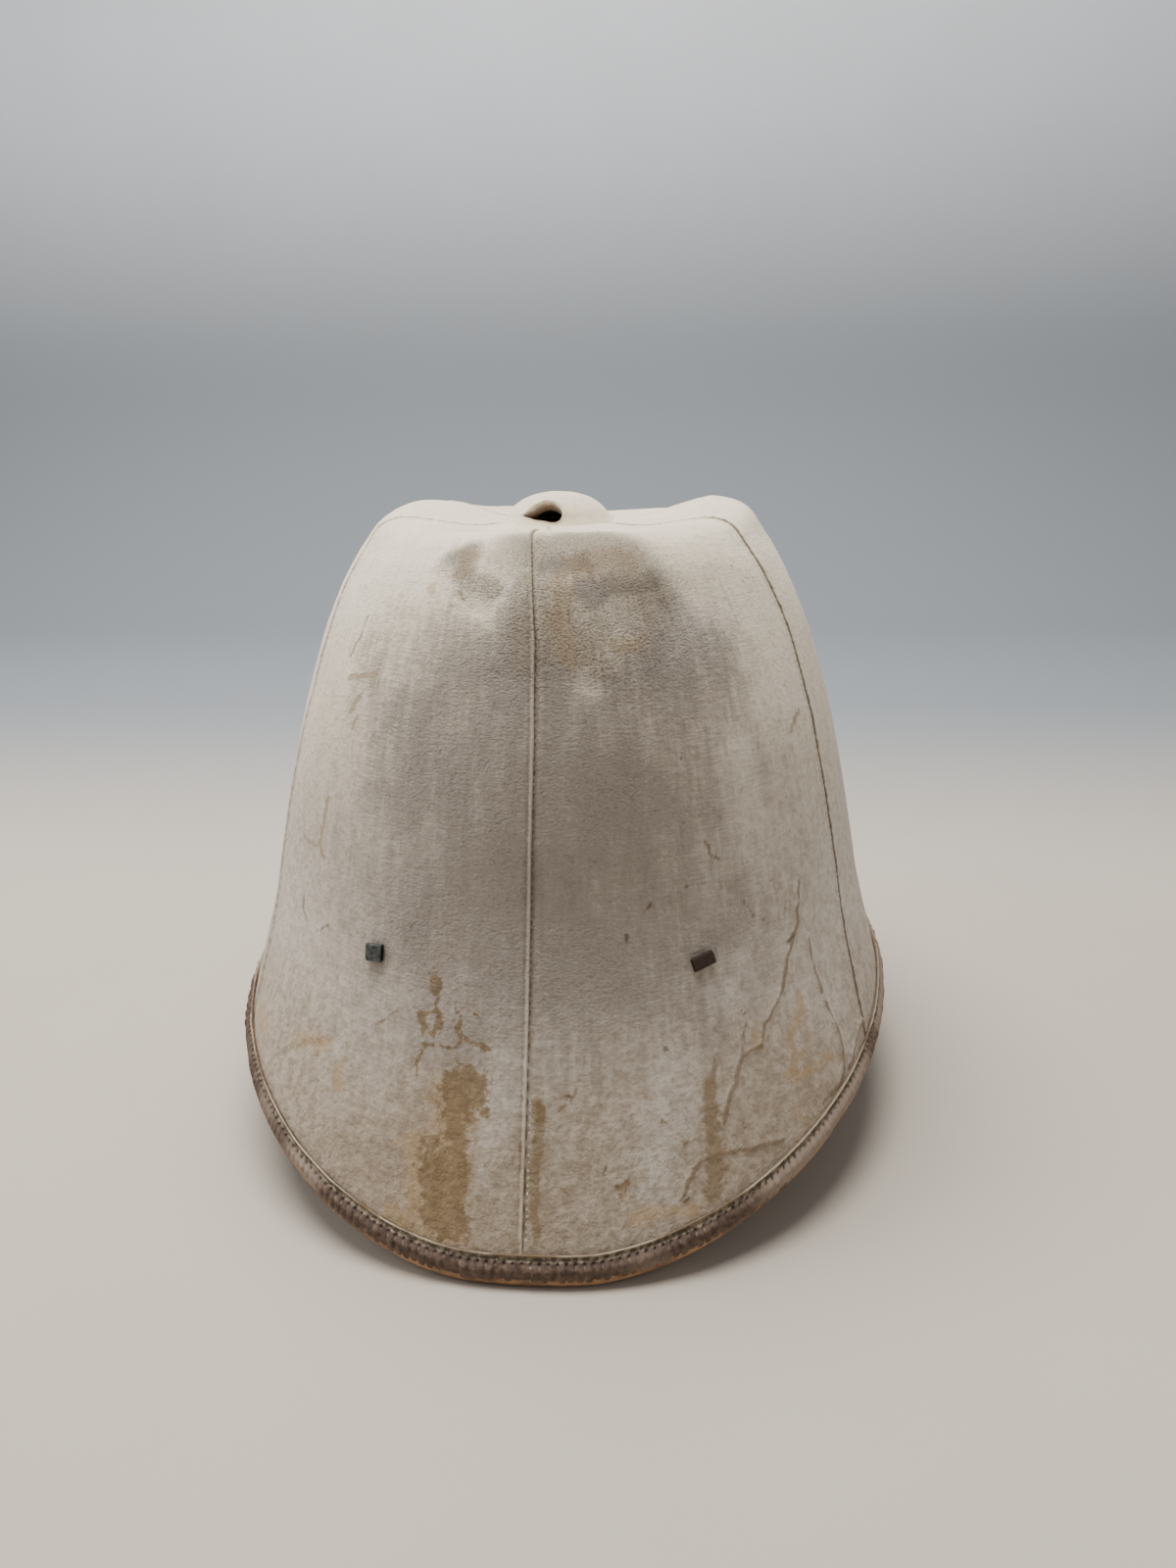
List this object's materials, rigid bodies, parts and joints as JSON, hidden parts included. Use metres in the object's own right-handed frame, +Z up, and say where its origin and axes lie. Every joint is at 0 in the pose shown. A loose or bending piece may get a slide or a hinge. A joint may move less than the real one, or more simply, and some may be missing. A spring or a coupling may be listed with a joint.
{
  "type": "pith sun helmet",
  "caption": "Tall bell-shaped sun helmet of six cloth panels over a hollow pith shell, with a leather-bound curved brim and a low cloth boss over its vent hole.",
  "frame": {"origin": "centre of the helmet's plan, on the surface that it rests on", "axes": "+Z up through the vent, -Y towards the rear peak, which faces the picture's camera, +Y towards the front peak"},
  "size_m": [0.2578, 0.3352, 0.2283],
  "materials": {
    "worn_cotton": "rough, stained off-white cotton",
    "pith": "bare, matt",
    "rim_leather": "thin, worn and puckered",
    "dull_steel": "dark, tarnished",
    "rusty_steel": "brown with rust"
  },
  "bodies": {
    "root": {"pith_shell": "pith", "panel_rear_left": "worn_cotton", "panel_rear_right": "worn_cotton", "panel_side_left": "worn_cotton", "panel_side_right": "worn_cotton", "panel_front_left": "worn_cotton", "panel_front_right": "worn_cotton", "rim_binding": "rim_leather", "vent_boss": "worn_cotton", "clip_left": "dull_steel", "clip_right": "rusty_steel"}
  },
  "joints": []
}
